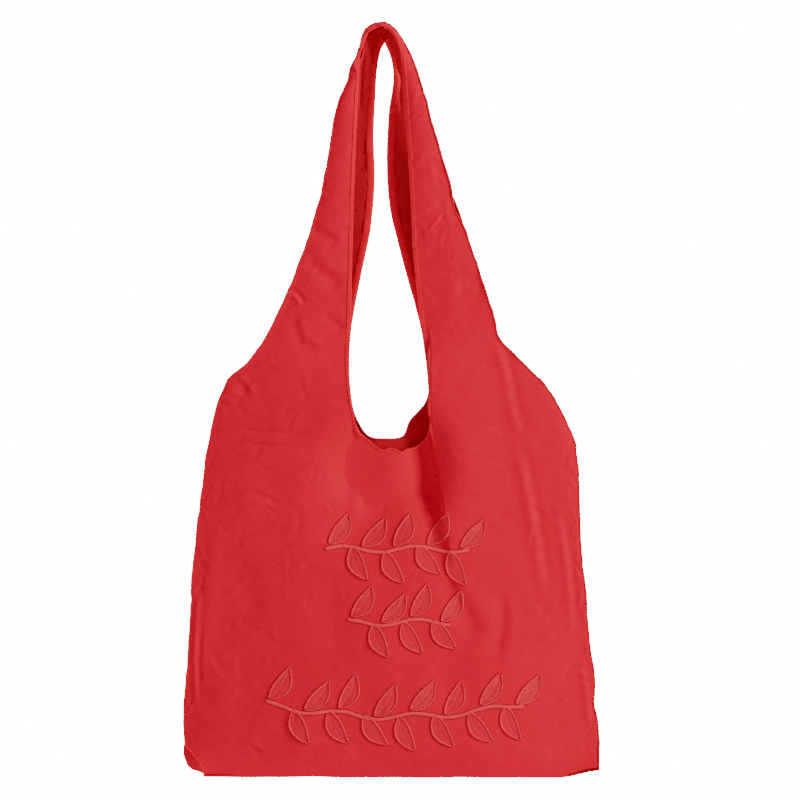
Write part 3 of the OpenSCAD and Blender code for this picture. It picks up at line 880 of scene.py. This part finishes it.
for side, path, outside in (("left", left_path, -1), ("right", right_path, 1)):
    low, rest = cut_at(path, SPLIT_Z)
    parts = {"upper": cut_at(rest, ARMPIT_Z - HANDLE_BAND)[0], "lower": cut_at(low, FACET_TOP[side])[1]}
    for part, stretch in parts.items():
        name = f"{side}_side_seam_{part}"
        seam = side_seam(name, spread(stretch, SEAM_ROWS[part]), outside)
        body = "bag_body" if part == "upper" else "lower_body"
        carry(seam, body, "edge_binding", name, bends=part == "lower")

# ---------------------------------------------------------------- base and boxed corners

BASE_MARGIN = 0.6
LINING_LIFT = 1.6


def base_sheet(name, lift, thickness, material, node, slot):
    """The base strip, softly uneven between the front and back cloths."""
    ends = left_at(0.0) + 0.5, right_at(0.0) - 0.5
    x, v = np.meshgrid(np.linspace(*ends, 120), np.linspace(-1, 1, 13), indexing="ij")
    y = v * (BASE_DEPTH - BASE_MARGIN)
    z = base_at(x) + lift + thickness + 0.5 * (1 - v ** 2) * (noise(x, y, 30, 18, 5) + 1)
    points = np.stack([x, y, z], -1)
    up = np.broadcast_to([0.0, 0.0, 1.0], points.shape)
    piece = shell(name, points, up, thickness, points[..., :2] * MM, material)
    carry(piece, "lower_body", slot, node)
    declare_sheet(points)


base_sheet("base_cloth", 0.0, CLOTH, nylon, "base_panel", "nylon")
base_sheet("base_lining_cloth", LINING_LIFT, LINING, lining, "base_lining", "lining")

FACET_ROWS, FACET_COLUMNS = 40, 16
FLOOR_GAP = 0.1
ROPE = 0.9
ROPE_PROUD = 0.2


def corner_facet(side, path, bulge):
    """The boxed corner's end panel, between the front and back cloths below the side seam."""
    hem = spread(cut_at(cut_at(path, FACET_TOP[side])[0], base_at(path[0, 0]))[1], FACET_ROWS)
    along = np.gradient(hem, axis=0)
    out = unit(np.stack([along[:, 1], -along[:, 0]], 1) * (1 if side == "right" else -1))
    v = np.linspace(-1, 1, FACET_COLUMNS + 1)
    share = np.linspace(0, 1, len(hem))
    depth = half_depth(hem[:, 0], hem[:, 1])
    swell = bulge * np.sin(np.pi * share ** 0.9)[:, None] * (1 - v[None] ** 2)
    x = hem[:, None, 0] + out[:, None, 0] * swell
    z = np.maximum(hem[:, None, 1] + out[:, None, 1] * swell, FLOOR_GAP)
    y = depth[:, None] * v[None]
    points = np.stack([x, y, z], -1)
    n = grid_normals(points)
    row, column = FACET_ROWS // 2, FACET_COLUMNS // 2
    if np.sum(n[row, column] * np.array([out[row, 0], 0, out[row, 1]])) < 0:
        n = -n
    piece = shell(side + "_corner_cloth", points, n, CLOTH, np.stack([y, z], -1) * MM, nylon)
    carry(piece, "lower_body", "nylon", side + "_corner_facet")
    flat = [np.linalg.norm(np.diff(points, axis=axis), axis=-1).sum(axis=axis).max() * EASE * MM
            for axis in (1, 0)]
    declare_sheet(points, flat=flat)
    for face, sign in (("front", FRONT), ("back", BACK)):
        centre = np.stack([hem[:, 0], sign * (depth + ROPE_PROUD), np.maximum(hem[:, 1], ROPE)], -1)
        run = unit(np.gradient(centre, axis=0))
        beside = unit(np.cross(run, [0.0, 1.0, 0.0]))
        rope = sweep(f"{side}_corner_seam_{face}", centre, beside, np.cross(beside, run),
                     ring(8, ROPE, ROPE), painted_highlight_tape)
        carry(rope, "lower_body", "edge_binding")


corner_facet("left", left_path, bulge=12.0)
corner_facet("right", right_path, bulge=1.5)

# ---------------------------------------------------------------- top seams

TOP_SEAM_PROFILE = ring(10, 1.6, 0.55, lift=0.25)
for name, (upper, normals) in uppers.items():
    along = unit(np.gradient(upper[0], axis=0))
    across = np.cross(along, normals[0])
    seam = sweep(name + "_top_seam", upper[0], across, normals[0], TOP_SEAM_PROFILE, painted_highlight_tape)
    carry(seam, name + "_handle", "edge_binding", name + "_handle_top_seam")

# ---------------------------------------------------------------- embroidery

def on_front(x, z, lift):
    """Points on the front cloth, raised by lift."""
    cloth = cloths["front"]
    return np.stack([x, cloth.place(x, z), z], -1) + field_normals(cloth, x, z) * lift[..., None]


# The outermost strip below is drawn in the dark thread colour: painted shadow round each leaf.
# Across half a leaf, from the outside in: the distance from its edge, and the height of the stitches
PAINTED_SHADOW_STRIP = [(-0.95, -0.25), (-0.75, 0.08), (-0.2, 0.08)]
CORD = [(-0.1, 0.10), (0.1, 1.0), (0.45, 1.5), (0.85, 1.5), (1.2, 1.0), (1.4, 0.42)]
FILL_STEPS = 6
FILL_HEIGHT = 0.5
FILL_STITCH = 1.3  # the length of one satin stitch
VEIN = 0.9
LEAF_ROWS = 76
LEAF_WIDTH = 15.5
LEAF_TIP = 0.35
FULL_LEAF = 2.2  # below this half width the cord and the fill get thinner
# Across a stem, in half widths, and the height of its flat border
STEM_ACROSS = np.array([-1.6, -1.45, -1.1, -1, -0.8, -0.4, 0, 0.4, 0.8, 1, 1.1, 1.45, 1.6])
STEM_WIDTH = 3.2
STEM_WAVE = 3.0
STEM_HEIGHT = 1.15
STEM_BORDER = 0.08
STEM_STITCH = 2.0
UNDERSIDE = -0.3


def leaf(centre, length, width, turn):
    """A filled leaf with a corded edge, a vein, and a dark strip round it that is painted shadow."""
    u = np.linspace(0, 1, LEAF_ROWS)
    half = LEAF_TIP + width / 2 * np.sin(np.pi * u ** 0.85) ** 0.85
    thin = np.minimum(half / FULL_LEAF, 1)
    low = mix(0.5, 1, thin)
    columns = [half - away * thin for away, _ in PAINTED_SHADOW_STRIP + CORD]
    heights = [height + 0 * u for _, height in PAINTED_SHADOW_STRIP] + [height * low for _, height in CORD]
    foot = columns[-1]
    for k in range(1, FILL_STEPS + 1):
        across = foot * (1 - k / FILL_STEPS)
        stitches = 0.14 * np.sin(2 * np.pi * (u * length / FILL_STITCH + across * 0.45))
        columns.append(across)
        heights.append((FILL_HEIGHT - 0.42 * bell(across / VEIN) + stitches) * low)
    across, lift = np.stack(columns, 1), np.stack(heights, 1)
    across = np.concatenate([across, -across[:, -2::-1]], 1)
    lift = np.concatenate([lift, lift[:, -2::-1]], 1)
    along = np.broadcast_to(((u - 0.5) * length)[:, None], across.shape)
    bow = 0.4 * length * (u[:, None] - 0.5) ** 2
    x = centre[0] + along * math.cos(turn) - (across + bow) * math.sin(turn)
    z = centre[1] + along * math.sin(turn) + (across + bow) * math.cos(turn)
    return x, z, lift, along * MM, across * MM


def stem(points, width):
    """A corded line of stitches through (x, z) points."""
    path = spread(curve(points)[0], len(points) * 22)
    along = unit(np.gradient(path, axis=0))
    v = STEM_ACROSS[None]
    x = path[:, None, 0] - along[:, None, 1] * v * width / 2
    z = path[:, None, 1] + along[:, None, 0] * v * width / 2
    length = distance_along(path)[:, None]
    twist = 0.15 * np.sin(2 * np.pi * (length / STEM_STITCH + v * 0.4))
    round_top = np.sqrt(np.clip(1 - v ** 2, 0, 1))
    lift = STEM_BORDER + (STEM_HEIGHT + twist) * round_top - 0.33 * (np.abs(v) > 1.5)
    return x, z, lift + 0 * x, length * MM + 0 * x, v * width * MM + 0 * x


PAINTED_SHADOW_COLUMNS = len(PAINTED_SHADOW_STRIP) - 1
FILL_COLUMN = len(PAINTED_SHADOW_STRIP) + len(CORD) - 1
CORD_SLOT, PAINTED_SHADOW_SLOT, FILL_SLOT = 0, 1, 2


def stitched(name, patches, body, bends=False):
    """One row of embroidery: patches of stitches laid on the front cloth and closed underneath."""
    vertices, faces, uvs, kinds, start = [], [], [], [], 0
    for x, z, lift, u, v in patches:
        rows, columns = x.shape
        count = rows * columns
        top = on_front(x, z, lift)
        under = on_front(x, z, np.full(x.shape, UNDERSIDE))
        quads = grid_quads(rows, columns, start)
        rim = rim_loop(rows, columns) + start
        following = np.roll(rim, -1)
        vertices += [top.reshape(-1, 3), under.reshape(-1, 3)]
        sides = np.stack([rim, rim + count, following + count, following], -1)
        faces += [quads, quads[:, ::-1] + count, sides]
        uvs += [np.stack([u, v], -1).reshape(-1, 2)] * 2
        column = np.arange(len(quads)) % (columns - 1)
        column = np.minimum(column, columns - 2 - column)
        # The outer columns and the patch sides take the dark thread colour, which is painted shadow.
        kind = np.where(column >= FILL_COLUMN, FILL_SLOT, CORD_SLOT)
        kind = np.where(column < PAINTED_SHADOW_COLUMNS, PAINTED_SHADOW_SLOT, kind)
        kinds += [kind, np.full(len(quads), CORD_SLOT), np.full(len(rim), PAINTED_SHADOW_SLOT)]
        start += 2 * count
    piece = new_object(name, np.concatenate(vertices), np.concatenate(faces).tolist(), np.concatenate(uvs),
                       thread)
    for material in (painted_shadow_line, fill_thread):
        piece.data.materials.append(material)
    piece.data.polygons.foreach_set("material_index", np.concatenate(kinds).astype(np.int32))
    fix_facing(piece)
    carry(piece, body, "thread", name, bends=bends)


def sprig(centre, width, count, leaf_length=36, bow=0.0):
    """A row of leaves set in turn above and below a wavy stem; bow makes the row hang like a smile."""
    def line(x):
        share = (x - centre[0]) / (width / 2)
        return centre[1] + STEM_WAVE * math.sin(share * math.pi * count / 4) + bow * (share ** 2 - 0.5)

    start, end = centre[0] - width / 2, centre[0] + width / 2
    stem_margin, leaf_margin = 10, 16
    xs = np.linspace(start + stem_margin, end - stem_margin, count + 2)
    patches = [stem([(x, line(x)) for x in xs], STEM_WIDTH)]
    for k in range(count):
        x = mix(start + leaf_margin, end - leaf_margin, k / (count - 1))
        up = 1 if k % 2 == 0 else -1
        turn = up * math.radians(58 + 8 * math.sin(2.1 * k))
        reach = leaf_length * 0.53
        spot = (x + reach * math.cos(turn), line(x) + reach * math.sin(turn))
        patches.append(leaf(spot, leaf_length, LEAF_WIDTH, turn))
    return patches


stitched("embroidery_top_row", sprig((6, 219), width=158, count=9), "bag_body")
stitched("embroidery_middle_row", sprig((8, 149), width=118, count=7), "lower_body", bends=True)
stitched("embroidery_bottom_row", sprig((4, 66), width=268, count=15, leaf_length=37, bow=14), "lower_body",
         bends=True)

# ---------------------------------------------------------------- snap

for node in ("snap_socket", "snap_stud", "snap_front_washer", "snap_back_washer"):
    data = frame["nodes"][node].data
    data.materials.clear()
    data.materials.append(nickel)

# ---------------------------------------------------------------- stage, lights and camera

AMBIENT = 0.38
BACKDROP = 16.0
FLOOR_RADIUS = 6.0
FLOOR_DROP = 0.9


def white_to_the_eye(nodes, light):
    """A strength that gives light to the object and a plain white backdrop to the eye."""
    seen = nodes.add("LightPath", {}, "Is Camera Ray")
    return nodes.add("MapRange", {"Value": seen, "To Min": light, "To Max": BACKDROP})


paper = Nodes(bpy.data.materials.new("pale_floor"))
paper.fill(paper.shader, {"Base Color": (0.9, 0.9, 0.9, 1), "Roughness": 0.9, "Emission Color": (1, 1, 1, 1),
                          "Emission Strength": white_to_the_eye(paper, 0.0)})
bpy.ops.mesh.primitive_circle_add(vertices=96, radius=FLOOR_RADIUS, fill_type="NGON",
                                  location=(0, 0.3, BASE_Z - FLOOR_DROP))
floor = bpy.context.object
floor.name = "floor"
floor.data.materials.append(paper.owner)
floor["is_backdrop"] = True

world = bpy.data.worlds.new("studio")
bpy.context.scene.world = world
sky = Nodes(world, "Background")
sky.fill(sky.shader, {"Color": (1, 1, 1, 1), "Strength": white_to_the_eye(sky, AMBIENT)})

CENTRE = Vector((0.0086, 0.0, -0.344))  # the middle of the picture
DISTANCE = 3.4
FIELD = 0.770  # how much of the object's plane the picture spans
SENSOR = 36
# Each light: its place, size and power. The same pair stands before and behind the bag
LIGHTS = {"key": ((3.1, -1.65, 1.15), 0.9, 134), "fill": ((-1.7, -1.7, 0.4), 1.2, 9),
          "back_key": ((-3.1, 1.65, 1.15), 0.9, 134), "back_fill": ((1.7, 1.7, 0.4), 1.2, 9)}
for name, (place, size, power) in LIGHTS.items():
    light = bpy.data.lights.new(name, "AREA")
    light.size = size
    light.energy = power
    lamp = bpy.data.objects.new(name, light)
    bpy.context.scene.collection.objects.link(lamp)
    lamp.location = place
    lamp.rotation_euler = (CENTRE - Vector(place)).to_track_quat("-Z", "Y").to_euler()

camera_data = bpy.data.cameras.new("camera")
camera_data.sensor_width = SENSOR
camera_data.lens = SENSOR * DISTANCE / FIELD
camera = bpy.data.objects.new("camera", camera_data)
bpy.context.scene.collection.objects.link(camera)
camera.location = (CENTRE.x, -DISTANCE, CENTRE.z)
camera.rotation_euler = (math.radians(90), 0, 0)
bpy.context.scene.camera = camera

low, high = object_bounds()
